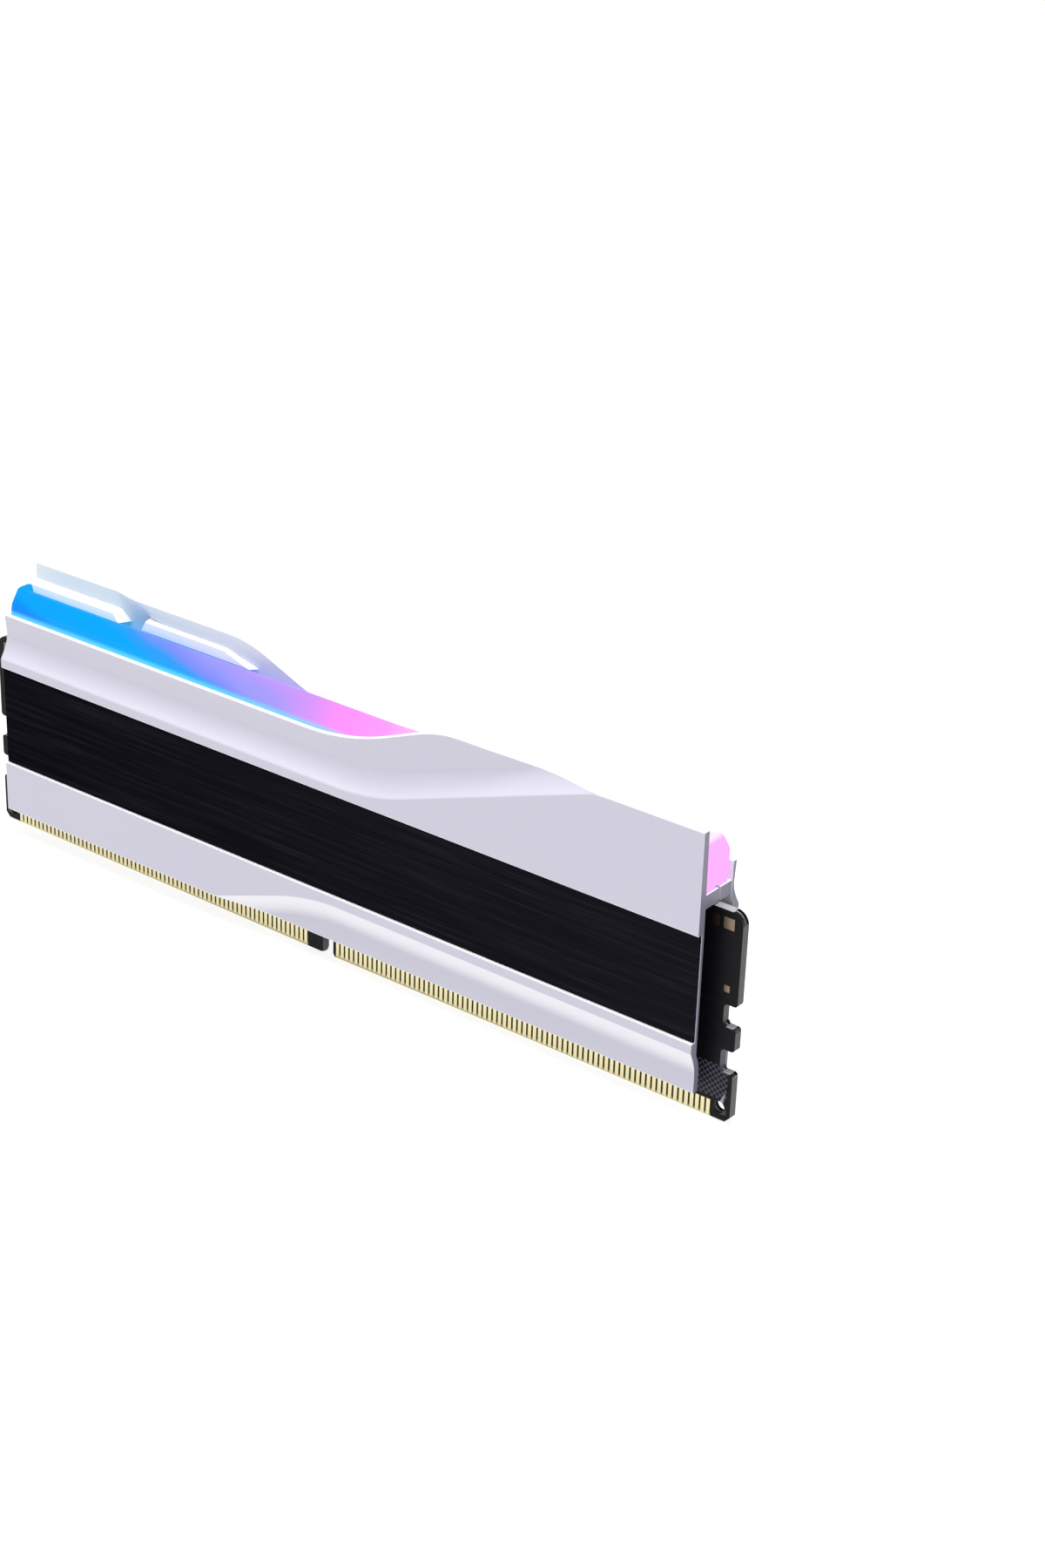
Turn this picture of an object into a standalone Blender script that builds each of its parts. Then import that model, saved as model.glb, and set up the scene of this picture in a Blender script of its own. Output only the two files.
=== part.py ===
"""Desktop memory module with two painted heat spreaders and a translucent light bar between them.

Lengths below are in millimetres and become metres when a mesh is made. X runs along the module,
-Y is the front and +Z is up. The origin is the middle of the card edge.
"""

import math

import bmesh
import bpy
from mathutils import Vector

MM = 0.001
GAP = 0.02  # clearance between pieces that touch

# Circuit board of a 288-contact unbuffered module.
BOARD_LENGTH = 133.35
BOARD_HEIGHT = 30.2
BOARD_THICKNESS = 1.27
BOARD_END = BOARD_LENGTH / 2
BOARD_FACE = BOARD_THICKNESS / 2
CORNER_CHAMFER = 1.0
TOP_CORNER_RADIUS = 1.8
KEY_LEFT = -2.325
KEY_RIGHT = -0.425
KEY_HEIGHT = 3.85
KEY_RADIUS = 0.9
LATCH_NOTCHES = ((7.3, 10.6), (13.9, 17.1))
LATCH_DEPTH = 2.0
LATCH_RADIUS = 0.5
CORNER_HOLE_X = 64.9
CORNER_HOLE_Z = 2.0
CORNER_HOLE_RADIUS = 0.9
CARD_EDGE_BEVEL = 0.3

# Edge contacts, on both faces of the board.
CONTACT_PITCH = 0.85
CONTACT_WIDTH = 0.55
CONTACT_BOTTOM = 0.35
CONTACT_TOP = 2.65
CONTACT_TIE = 0.12  # height of the plated strip that ties a group together
CONTACT_THICKNESS = 0.04
CONTACT_GROUPS = {"left": (-63.325, 69), "right": (0.425, 75)}

# Heat spreaders: one pressed and painted sheet, with a mirrored flute above and below its band.
SPREADER_END = 62.43
SPREADER_BOTTOM = 4.0
LOW_TOP = 35.1
HIGH_TOP = 41.5
TOP_SLOPE = 0.40
TOP_RISE_START = 3.5
TOP_RISE_START_ROUND = 7.0
TOP_RISE_END_ROUND = 3.5
FACE_DEPTH = 4.10
BAND_BOTTOM = 11.74
BAND_TOP = 27.04
BAND_FLOOR_DEPTH = 3.29
CREASE_MARGIN = 1.4
CREASE_SLOPE = 0.35
CREASE_CORNER_X = 8.8
CREASE_LOWER_CORNER_X = -2.2
CREASE_ROUND = 6.0
FLUTE_WIDTH = 3.6
UPPER_FLUTE_DEPTH = 2.65
LOWER_FLUTE_DEPTH = 3.0
FLUTE_LEAN = 0.1
FLUTE_LEAN_LIMIT = 0.3
SHEET = 1.05
INNER_DEPTH = 2.75
INNER_DRAFT = 0.3
UPPER_INNER_LEAST = 2.2
BACK_SHIFT = 0.6  # the back spreader stands this much further from the board than the front one
FLUTE_STEPS = (0.0, 0.25, 0.5, 0.75, 1.0)
LEAST_ROW = 0.03
SPREADER_STATIONS = (
    -SPREADER_END, -24, -18, -12, -8, -6, -4, -2, 0, 2, 4, 6, 8, 10, 12, 15,
    16.5, 18, 19.5, 21, 23, 28, 33, 36, 39, 42, 45, 48, SPREADER_END,
)

# Tabs that reach from each spreader over the board's top edge and carry the light bar, as
# (start, end, depth of the root) on the front spreader.
TABS = ((-62.3, -50.0, 2.58), (-6.0, 6.0, 2.58), (50.0, 62.3, 2.92))
TAB_BOTTOM = 30.35
TAB_TOP = 32.35
TAB_TIP_DEPTH = -0.15

# Insert strip in each spreader's band.
INSERT_THICKNESS = 0.35
INSERT_MARGIN = 0.05

# Components on the front face.
CHIP_SIZE = (8.0, 1.0, 11.0)
CHIP_HEIGHT = 18.5
CHIP_PLACES = (-52.5, -39.5, -26.5, -13.5, 13.5, 26.5, 39.5, 52.5)
POWER_CHIP = ((0.0, 20.0), (4.0, 0.85, 4.0))
SPD_HUB = ((-5.6, 20.0), (3.0, 0.75, 2.0))
LIGHT_CONTROLLER = ((5.6, 20.0), (3.0, 0.75, 3.0))
INDUCTOR_SIZE = (3.2, 1.2, 2.5)
INDUCTOR_HEIGHT = 14.0
INDUCTOR_PLACES = (-5.5, 0.0, 5.5)
CAPACITOR_SIZE = (0.8, 0.8, 1.6)
CAPACITOR_HEIGHT = 25.5
CAPACITOR_PLACES = (-7.5, -4.5, -1.5, 1.5, 4.5, 7.5)
LED_SIZE = (1.6, 0.8, 0.8)
LED_HEIGHT = 29.2
LED_PLACES = (-45.5, -34.0, -22.5, -11.0, 11.0, 22.5, 34.0, 45.5)
PAD_BOTTOM = 13.5
PAD_TOP = 23.5
PAD_END = 57.5
PAD_INNER_END = 9.0
POWER_PAD_HALF = 2.2
BACK_PAD_END = 56.0

# Light bar: sections as (y, z) outlines, at places along X.
BAR_BOTTOM = 32.4
BAR_LOW_SECTION = ((1.9, BAR_BOTTOM), (1.9, 37.25), (-0.45, 39.0), (-1.9, 36.7), (-2.15, 35.4),
                   (-2.15, BAR_BOTTOM))
BAR_END_SECTION = ((1.9, BAR_BOTTOM), (1.7, 39.0), (-0.45, 38.95), (-1.9, 36.7), (-2.15, 35.4),
                   (-2.15, BAR_BOTTOM))
BAR_RISING_SECTION = ((2.3, BAR_BOTTOM), (2.3, 36.9), (0.6, 39.2), (-1.3, 39.9), (-2.15, 40.1),
                      (-2.15, BAR_BOTTOM))
BAR_NECK_SECTION = ((2.6, BAR_BOTTOM), (2.6, 36.9), (0.9, 39.4), (-1.3, 40.3), (-2.15, 40.5),
                    (-2.15, BAR_BOTTOM))
BAR_HIGH_SECTION = ((2.6, BAR_BOTTOM), (2.6, 36.9), (0.9, 39.4), (-1.3, 40.3), (-2.9, 40.5),
                    (-2.65, BAR_BOTTOM))
BAR_STATIONS = (
    (-62.1, BAR_END_SECTION), (-61.3, BAR_END_SECTION), (-61.1, BAR_LOW_SECTION),
    (10.0, BAR_LOW_SECTION), (35.5, BAR_RISING_SECTION), (38.5, BAR_NECK_SECTION),
    (46.0, BAR_NECK_SECTION), (48.5, BAR_HIGH_SECTION), (62.1, BAR_HIGH_SECTION),
)

# Raised pads on the back spreader's inner face, each as its outline in the wall and on its face,
# as (x, depth, z).
RIB_WALLS = (
    ((-62.3, 3.7, 37.55), (-42.6, 3.7, 37.55), (-44.7, 3.7, 39.0), (-62.3, 3.7, 39.0)),
    ((-39.6, 3.7, 37.7), (-16.6, 3.5, 37.7), (-22.9, 3.5, 39.4), (-38.9, 3.7, 39.4)),
)
RIB_FACES = (
    ((-62.3, 1.75, 37.55), (-43.7, 1.75, 37.55), (-45.1, 2.15, 38.6), (-62.3, 2.15, 38.6)),
    ((-39.2, 1.75, 37.7), (-18.3, 1.75, 37.7), (-23.6, 2.2, 39.0), (-38.7, 2.2, 39.0)),
)

FRONT = -1
BACK = 1


def clear_scene():
    for obj in list(bpy.data.objects):
        bpy.data.objects.remove(obj, do_unlink=True)


def new_collection(name):
    collection = bpy.data.collections.new(name)
    bpy.context.scene.collection.children.link(collection)
    return collection


def new_material(name, colour, roughness, metallic=0.0):
    material = bpy.data.materials.new(name)
    material.use_nodes = True
    shader = material.node_tree.nodes["Principled BSDF"]
    shader.inputs["Base Color"].default_value = (*colour, 1.0)
    shader.inputs["Roughness"].default_value = roughness
    shader.inputs["Metallic"].default_value = metallic
    material.diffuse_color = (*colour, 1.0)
    return material


def add_mesh(name, bm, material, collection):
    """Turns a bmesh into an object in the collection."""
    bmesh.ops.recalc_face_normals(bm, faces=bm.faces)
    mesh = bpy.data.meshes.new(name)
    bm.to_mesh(mesh)
    bm.free()
    obj = bpy.data.objects.new(name, mesh)
    if material:
        mesh.materials.append(material)
    collection.objects.link(obj)
    return obj


def add_box(bm, low, high):
    """Adds a box between two corners, in millimetres, to a bmesh."""
    low = Vector(low)
    high = Vector(high)
    verts = bmesh.ops.create_cube(bm, size=1.0)["verts"]
    bmesh.ops.scale(bm, vec=(high - low) * MM, verts=verts)
    bmesh.ops.translate(bm, vec=(high + low) / 2 * MM, verts=verts)


def box(name, low, high, material, collection, bevel=0.0):
    bm = bmesh.new()
    add_box(bm, low, high)
    obj = add_mesh(name, bm, material, collection)
    if bevel:
        modifier = obj.modifiers.new("edges", "BEVEL")
        modifier.width = bevel * MM
        modifier.segments = 1
    return obj


def loft(sections):
    """A bmesh through closed sections of equal length, with flat caps on the first and the last."""
    bm = bmesh.new()
    rings = [[bm.verts.new(Vector(point) * MM) for point in section] for section in sections]
    count = len(rings[0])
    for ring, following in zip(rings, rings[1:]):
        for i in range(count):
            j = (i + 1) % count
            bm.faces.new((ring[i], ring[j], following[j], following[i]))
    bm.faces.new(rings[0])
    bm.faces.new(rings[-1])
    return bm


def rounded(corners, segments=4):
    """An outline through (x, z, radius) corners, each with a radius turned into an arc."""
    points = []
    count = len(corners)
    for i, (x, z, radius) in enumerate(corners):
        corner = Vector((x, z))
        if not radius:
            points.append(corner)
            continue
        before = (Vector(corners[i - 1][:2]) - corner).normalized()
        after = (Vector(corners[(i + 1) % count][:2]) - corner).normalized()
        half = before.angle(after) / 2
        centre = corner + (before + after).normalized() * radius / math.sin(half)
        start = corner + before * radius / math.tan(half) - centre
        end = corner + after * radius / math.tan(half) - centre
        for step in range(segments + 1):
            direction = start.slerp(end, step / segments).normalized()
            points.append(centre + direction * radius)
    return points


def circle(x, z, radius, count=16):
    turns = [2 * math.pi * i / count for i in range(count)]
    return [Vector((x + radius * math.cos(turn), z + radius * math.sin(turn))) for turn in turns]


def plate(name, outlines, thickness, y, material, collection):
    """A flat plate in the XZ plane: the first outline is its edge, and any others are holes."""
    curve = bpy.data.curves.new(name, "CURVE")
    curve.dimensions = "2D"
    curve.fill_mode = "BOTH"
    curve.extrude = thickness / 2 * MM
    for outline in outlines:
        spline = curve.splines.new("POLY")
        spline.points.add(len(outline) - 1)
        for point, place in zip(spline.points, outline):
            point.co = (place.x * MM, place.y * MM, 0.0, 1.0)
        spline.use_cyclic_u = True
    curve.materials.append(material)
    obj = bpy.data.objects.new(name, curve)
    obj.location.y = y * MM
    obj.rotation_euler.x = math.pi / 2
    collection.objects.link(obj)
    return obj


def as_mesh(obj, collection):
    """Replaces a curve object with a mesh object of the same name, with its caps welded."""
    bpy.context.view_layer.update()
    evaluated = obj.evaluated_get(bpy.context.evaluated_depsgraph_get())
    mesh = bpy.data.meshes.new_from_object(evaluated)
    name = obj.name
    matrix = obj.matrix_world.copy()
    bpy.data.objects.remove(obj, do_unlink=True)
    bm = bmesh.new()
    bm.from_mesh(mesh)
    bmesh.ops.remove_doubles(bm, verts=bm.verts, dist=0.001 * MM)
    bm.to_mesh(mesh)
    bm.free()
    solid = bpy.data.objects.new(name, mesh)
    solid.matrix_world = matrix
    collection.objects.link(solid)
    return solid


def board_outline():
    """The board's edge, anticlockwise from its lower left corner."""
    wall = BOARD_END - LATCH_DEPTH
    right = [(BOARD_END - CORNER_CHAMFER, 0, 0), (BOARD_END, CORNER_CHAMFER, 0)]
    for low, high in LATCH_NOTCHES:
        right += [
            (BOARD_END, low, LATCH_RADIUS), (wall, low, LATCH_RADIUS),
            (wall, high, LATCH_RADIUS), (BOARD_END, high, LATCH_RADIUS),
        ]
    right.append((BOARD_END, BOARD_HEIGHT, TOP_CORNER_RADIUS))
    left = [(-x, z, radius) for x, z, radius in reversed(right)]
    key = [
        (KEY_LEFT, 0, 0), (KEY_LEFT, KEY_HEIGHT, KEY_RADIUS),
        (KEY_RIGHT, KEY_HEIGHT, KEY_RADIUS), (KEY_RIGHT, 0, 0),
    ]
    return rounded(left + key + right)


def make_board(material, collection):
    holes = [circle(x, CORNER_HOLE_Z, CORNER_HOLE_RADIUS) for x in (-CORNER_HOLE_X, CORNER_HOLE_X)]
    outlines = [board_outline(), *holes]
    board = as_mesh(plate("pcb", outlines, BOARD_THICKNESS, 0, material, collection), collection)
    bm = bmesh.new()
    bm.from_mesh(board.data)
    # In the mesh's own frame the card edge is at y = 0 and the faces are at z = +-BOARD_FACE.
    near = 0.001 * MM
    card_edges = [
        edge for edge in bm.edges
        if all(abs(vert.co.y) < near for vert in edge.verts)
        and abs(edge.verts[0].co.z - edge.verts[1].co.z) < near
    ]
    bmesh.ops.bevel(bm, geom=card_edges, offset=CARD_EDGE_BEVEL * MM, segments=1, affect="EDGES")
    bm.to_mesh(board.data)
    bm.free()
    return board


def contact_outline(first, count):
    """The teeth of one contact group, hanging from the strip that ties them."""
    half = CONTACT_WIDTH / 2
    tie = CONTACT_TOP - CONTACT_TIE
    points = []
    for i in range(count):
        x = first + i * CONTACT_PITCH
        points += [
            Vector((x - half, tie)), Vector((x - half, CONTACT_BOTTOM)),
            Vector((x + half, CONTACT_BOTTOM)), Vector((x + half, tie)),
        ]
    last = first + (count - 1) * CONTACT_PITCH
    points += [Vector((last + half, CONTACT_TOP)), Vector((first - half, CONTACT_TOP))]
    return points


def make_contacts(material, collection):
    depth = BOARD_FACE + GAP + CONTACT_THICKNESS / 2
    for face, side in (("front", FRONT), ("back", BACK)):
        for group, (first, count) in CONTACT_GROUPS.items():
            name = f"contacts_{face}_{group}"
            outline = contact_outline(first, count)
            plate(name, [outline], CONTACT_THICKNESS, side * depth, material, collection)


def ramp(distance, round_half):
    """Zero before a bend and the distance after it, with a smooth stretch round_half each way."""
    if distance <= -round_half:
        return 0.0
    if distance >= round_half:
        return distance
    return (distance + round_half) ** 2 / (4 * round_half)


def top_edge(x):
    """Height of the spreader's top edge, low on the left and high on the right."""
    rise_end = TOP_RISE_START + (HIGH_TOP - LOW_TOP) / TOP_SLOPE
    rise = ramp(x - TOP_RISE_START, TOP_RISE_START_ROUND) - ramp(x - rise_end, TOP_RISE_END_ROUND)
    return LOW_TOP + TOP_SLOPE * rise


def upper_crease(x):
    return BAND_TOP + CREASE_MARGIN + CREASE_SLOPE * ramp(x - CREASE_CORNER_X, CREASE_ROUND)


def lower_crease(x):
    return BAND_BOTTOM - CREASE_MARGIN - CREASE_SLOPE * ramp(CREASE_LOWER_CORNER_X - x, CREASE_ROUND)


def flute_depth(distance, deepest, lean):
    """Depth of the face at a distance past the crease, where it falls in a hollow curve."""
    share = min(max(distance / FLUTE_WIDTH, 0.0), 1.0)
    fall = 1.5 * share - 0.5 * share ** 3
    back_out = min(lean * max(distance - FLUTE_WIDTH, 0.0), FLUTE_LEAN_LIMIT)
    return FACE_DEPTH - (FACE_DEPTH - deepest) * fall + back_out


def spreader_section(x):
    """(depth, z) points of the sheet at x: up the outer face, then down the inner face."""
    top = top_edge(x)
    low_crease = lower_crease(x)
    high_crease = upper_crease(x)
    last = len(FLUTE_STEPS)
    lower = []
    for i, share in enumerate(reversed(FLUTE_STEPS)):
        z = max(low_crease - share * FLUTE_WIDTH, SPREADER_BOTTOM + LEAST_ROW * (i + 1))
        lower.append((flute_depth(low_crease - z, LOWER_FLUTE_DEPTH, 0.0), z))
    upper = []
    for i, share in enumerate(FLUTE_STEPS):
        z = min(high_crease + share * FLUTE_WIDTH, top - LEAST_ROW * (last - i))
        upper.append((flute_depth(z - high_crease, UPPER_FLUTE_DEPTH, FLUTE_LEAN), z))
    bottom_depth = flute_depth(low_crease - SPREADER_BOTTOM, LOWER_FLUTE_DEPTH, 0.0)
    bottom_point = (bottom_depth, SPREADER_BOTTOM)
    top_point = (flute_depth(top - high_crease, UPPER_FLUTE_DEPTH, FLUTE_LEAN), top)
    band = [
        (FACE_DEPTH, BAND_BOTTOM), (BAND_FLOOR_DEPTH, BAND_BOTTOM),
        (BAND_FLOOR_DEPTH, BAND_TOP), (FACE_DEPTH, BAND_TOP),
    ]
    inner = []
    for depth, z in [top_point, *reversed(upper)]:
        draft = INNER_DRAFT * (z - BAND_TOP) / (HIGH_TOP - BAND_TOP)
        inner.append((min(INNER_DEPTH + draft, max(depth - SHEET, UPPER_INNER_LEAST)), z))
    inner.append((INNER_DEPTH, BAND_TOP))
    for depth, z in [*reversed(lower), bottom_point]:
        inner.append((min(INNER_DEPTH, depth - SHEET), z))
    return [bottom_point, *lower, *band, *upper, top_point, *inner]


def spreader_tabs(name, helpers):
    bm = bmesh.new()
    for start, end, root in TABS:
        add_box(bm, (start, -root, TAB_BOTTOM), (end, -TAB_TIP_DEPTH, TAB_TOP))
    return helper(add_mesh(name, bm, None, helpers))


def inner_rib(index, helpers):
    """A raised pad of the back spreader, narrower at its face than at the wall."""
    bm = loft([RIB_WALLS[index], RIB_FACES[index]])
    return helper(add_mesh(f"rib_{index + 1}", bm, None, helpers))


def helper(obj):
    obj.hide_render = True
    obj.display_type = "WIRE"
    return obj


def join(obj, other):
    modifier = obj.modifiers.new(f"join {other.name}", "BOOLEAN")
    modifier.operation = "UNION"
    modifier.object = other


def make_spreaders(material, collection, helpers):
    for face, turn, shift in (("front", 0.0, 0.0), ("back", math.pi, BACK_SHIFT)):
        sections = [
            [(x, -depth, z) for depth, z in spreader_section(x)] for x in SPREADER_STATIONS
        ]
        spreader = add_mesh(f"heat_spreader_{face}", loft(sections), material, collection)
        tabs = spreader_tabs(f"tabs_{face}", helpers)
        for obj in (spreader, tabs):
            obj.rotation_euler.z = turn
            obj.location.y = shift * MM
        join(spreader, tabs)
        if face == "back":
            for index in range(len(RIB_WALLS)):
                join(spreader, inner_rib(index, helpers))


def make_inserts(material, collection):
    near_depth = BAND_FLOOR_DEPTH + GAP
    far_depth = near_depth + INSERT_THICKNESS
    end = SPREADER_END - INSERT_MARGIN
    bottom = BAND_BOTTOM + INSERT_MARGIN
    top = BAND_TOP - INSERT_MARGIN
    box("insert_front", (-end, -far_depth, bottom), (end, -near_depth, top), material, collection)
    near_back = near_depth + BACK_SHIFT
    far_back = far_depth + BACK_SHIFT
    box("insert_back", (-end, near_back, bottom), (end, far_back, top), material, collection)


def component(name, place, size, material, collection, bevel=0.08):
    """A block soldered to the front face, centred on place in x and z."""
    x, z = place
    length, depth, height = size
    near = -(BOARD_FACE + GAP)
    low = (x - length / 2, near - depth, z - height / 2)
    high = (x + length / 2, near, z + height / 2)
    return box(name, low, high, material, collection, bevel)


def make_components(materials, collection):
    chip = materials["chip"]
    for i, x in enumerate(CHIP_PLACES):
        component(f"memory_chip_{i + 1}", (x, CHIP_HEIGHT), CHIP_SIZE, chip, collection, 0.12)
    component("power_chip", *POWER_CHIP, chip, collection)
    component("spd_hub", *SPD_HUB, chip, collection)
    component("light_controller", *LIGHT_CONTROLLER, chip, collection)
    for i, x in enumerate(INDUCTOR_PLACES):
        place = (x, INDUCTOR_HEIGHT)
        component(f"inductor_{i + 1}", place, INDUCTOR_SIZE, materials["ferrite"], collection, 0.15)
    for i, x in enumerate(CAPACITOR_PLACES):
        place = (x, CAPACITOR_HEIGHT)
        component(f"capacitor_{i + 1}", place, CAPACITOR_SIZE, materials["capacitor"], collection)
    for i, x in enumerate(LED_PLACES):
        component(f"led_{i + 1}", (x, LED_HEIGHT), LED_SIZE, materials["led"], collection)


def make_thermal_pads(material, collection):
    board = BOARD_FACE + GAP
    wall = INNER_DEPTH - GAP
    chip_top = board + CHIP_SIZE[1] + GAP
    power_top = board + POWER_CHIP[1][1] + GAP
    power_z = POWER_CHIP[0][1]
    pads = {
        "left": ((-PAD_END, -wall, PAD_BOTTOM), (-PAD_INNER_END, -chip_top, PAD_TOP)),
        "right": ((PAD_INNER_END, -wall, PAD_BOTTOM), (PAD_END, -chip_top, PAD_TOP)),
        "power": (
            (-POWER_PAD_HALF, -wall, power_z - POWER_PAD_HALF),
            (POWER_PAD_HALF, -power_top, power_z + POWER_PAD_HALF),
        ),
        "back": ((-BACK_PAD_END, board, PAD_BOTTOM), (BACK_PAD_END, wall + BACK_SHIFT, PAD_TOP)),
    }
    for name, (low, high) in pads.items():
        box(f"thermal_pad_{name}", low, high, material, collection)


def make_light_bar(material, collection):
    sections = [[(x, y, z) for y, z in section] for x, section in BAR_STATIONS]
    add_mesh("light_bar", loft(sections), material, collection)


def main():
    clear_scene()
    module = new_collection("ram_module")
    helpers = new_collection("cutters")
    materials = {
        "board": new_material("board_black", (0.012, 0.012, 0.014), 0.45),
        "gold": new_material("contact_gold", (0.83, 0.62, 0.25), 0.25, 1.0),
        "paint": new_material("spreader_white", (0.70, 0.69, 0.76), 0.45),
        "insert": new_material("insert_black", (0.015, 0.015, 0.020), 0.38, 0.6),
        "chip": new_material("chip_resin", (0.020, 0.020, 0.022), 0.55),
        "ferrite": new_material("ferrite", (0.12, 0.12, 0.13), 0.60),
        "capacitor": new_material("capacitor_tan", (0.42, 0.28, 0.17), 0.50),
        "led": new_material("led_white", (0.85, 0.85, 0.80), 0.30),
        "pad": new_material("thermal_pad", (0.42, 0.47, 0.55), 0.85),
        "bar": new_material("light_bar", (0.55, 0.60, 0.95), 0.35),
    }
    make_board(materials["board"], module)
    make_contacts(materials["gold"], module)
    make_components(materials, module)
    make_thermal_pads(materials["pad"], module)
    make_spreaders(materials["paint"], module, helpers)
    make_inserts(materials["insert"], module)
    make_light_bar(materials["bar"], module)


main()
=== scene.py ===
"""Looks of the memory module: its visible pieces, their materials, the light and the camera.

Lengths below are in millimetres and become metres when an object is made. X runs along the module,
-Y is the front and +Z is up. A spreader's depths are distances from the board's middle plane, and the
back spreader stands BACK_SHIFT further out than they say.
"""

import math

import bmesh
import bpy
from mathutils import Matrix, Vector


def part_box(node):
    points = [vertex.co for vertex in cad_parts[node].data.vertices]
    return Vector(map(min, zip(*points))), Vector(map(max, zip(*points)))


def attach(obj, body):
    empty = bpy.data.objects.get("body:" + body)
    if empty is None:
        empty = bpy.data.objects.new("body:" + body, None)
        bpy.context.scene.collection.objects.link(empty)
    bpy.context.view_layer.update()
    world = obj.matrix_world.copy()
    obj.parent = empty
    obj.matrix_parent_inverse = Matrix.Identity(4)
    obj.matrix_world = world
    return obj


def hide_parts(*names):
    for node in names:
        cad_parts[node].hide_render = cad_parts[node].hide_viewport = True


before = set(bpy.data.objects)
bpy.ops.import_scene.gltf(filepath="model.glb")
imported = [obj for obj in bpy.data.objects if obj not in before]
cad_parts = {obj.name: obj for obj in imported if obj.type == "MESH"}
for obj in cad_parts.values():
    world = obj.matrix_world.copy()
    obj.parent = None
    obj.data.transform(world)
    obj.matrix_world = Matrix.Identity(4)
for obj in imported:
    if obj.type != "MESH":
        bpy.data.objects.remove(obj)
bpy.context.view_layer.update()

MM = 0.001

# Places nearer than this are the same place.
NEAR = 0.001

# Sides of the board, as the signs of Y.
FRONT = -1
BACK = 1


def box_mm(node):
    """The low and the high corner of a CAD node's box."""
    low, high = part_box(node)
    return low / MM, high / MM


# Camera, with its angles in degrees.
CAMERA_PLACE = (234.15, -267.46, 197.29)
CAMERA_AZIMUTH = 37.18
CAMERA_ELEVATION = 25.57
CAMERA_ROLL = 2.02
CAMERA_LENS = 66.37

# Studio. The floor glows as a light table does.
STARTUP_OBJECTS = ("Cube", "Light", "Camera")
LIGHT_PLACE = (50.0, -50.0, 900.0)
LIGHT_AIM = (0.0, 0.0, 20.0)
LIGHT_SIZE = 400.0
LIGHT_WATTS = 9.0
WORLD_STRENGTH = 0.55
FLOOR_HALF_SIZE = 2500.0
FLOOR_GLOW = 0.85

# Circuit board.
BOARD_HIGH = box_mm("pcb")[1]
BOARD_END = BOARD_HIGH.x
BOARD_FACE = BOARD_HIGH.y
BOARD_EDGE_ROUND = 0.06
CORNER_CHAMFER = 1.0
TOP_CORNER_RADIUS = 1.8
KEY_LEFT = -2.325
KEY_RIGHT = -0.425
KEY_HEIGHT = 3.85
KEY_RADIUS = 0.9
LATCH_NOTCHES = ((7.3, 10.6), (13.9, 17.1))
LATCH_DEPTH = 2.0
LATCH_RADIUS = 0.5
CORNER_HOLE_X = 64.9
CORNER_HOLE_Z = 2.0
CORNER_HOLE_RADIUS = 0.9
CARD_EDGE_BEVEL = 0.3
BOARD_ARC_SEGMENTS = 8

# Bare solder pads near the board's ends, as (x, z, width, height) at the right end.
SOLDER_PADS = ((64.6, 28.4, 1.6, 1.6), (62.3, 28.4, 1.6, 1.6), (64.9, 19.3, 0.85, 0.95))
SOLDER_THICKNESS = 0.035
# Distances from the middle over which the painted shadow of the spreader on the pads fades out.
SOLDER_SHADOW_END = (63.2, 63.6)

# Edge contacts.
CONTACT_PITCH = 0.85
CONTACT_WIDTH = 0.55
CONTACT_COUNTS = {"left": 69, "right": 75}
CONTACT_ROUND = 0.012

# Patterns on the board: laminate without solder mask round the contacts, and a copper mesh near the ends.
MASK_FREE_SPANS = ((-63.7, -5.15), (0.05, 63.7))
MASK_FREE_HEIGHTS = (-1.0, 2.75)
LAMINATE_FADE = (0.25, 0.75)
CARD_EDGE_HEIGHTS = (-1.0, 0.34)
MESH_PITCH = 0.85
MESH_LINE = (0.05, 0.13)
MESH_SPAN = (58.0, 66.0)
MESH_HEIGHTS = (3.2, 8.1)

# Heat spreaders: a flat face with a band for the insert, and past a crease above and below it a hollow
# flute. The creases bend, so that each flute runs off the sheet at one end.
SPREADER_LOW, SPREADER_HIGH = box_mm("heat_spreader_front")
SPREADER_END = SPREADER_HIGH.x
SPREADER_BOTTOM = SPREADER_LOW.z
FACE_DEPTH = -SPREADER_LOW.y
HIGH_TOP = SPREADER_HIGH.z
LOW_TOP = 35.1
BACK_SHIFT = box_mm("heat_spreader_back")[1].y - FACE_DEPTH
TOP_SLOPE = 0.40
TOP_RISE_START = 3.5
TOP_RISE_START_ROUND = 7.0
TOP_RISE_END_ROUND = 3.5
CREASE_MARGIN = 1.4
CREASE_SLOPE = 0.35
CREASE_CORNER_X = 8.8
CREASE_LOWER_CORNER_X = -2.2
CREASE_ROUND = 6.0
CREASE_SOFTNESS = 0.05
FLUTE_WIDTH = 3.6
UPPER_FLUTE_DEPTH = 2.65
LOWER_FLUTE_DEPTH = 3.0
FLUTE_LEAN = 0.1
FLUTE_LEAN_LIMIT = 0.3
FLUTE_ROWS = 16
SHEET = 1.05
INNER_DEPTH = 2.75
INNER_DRAFT = 0.3
UPPER_INNER_LEAST = 2.2
OUTER_EDGE_ROUND = 0.22
INNER_EDGE_ROUND = 0.15
BAND_EDGE_ROUND = 0.22
EDGE_ROOM = 1.2 * OUTER_EDGE_ROUND
END_ROUND = 0.10
STATION_STEP = 1.0

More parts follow.
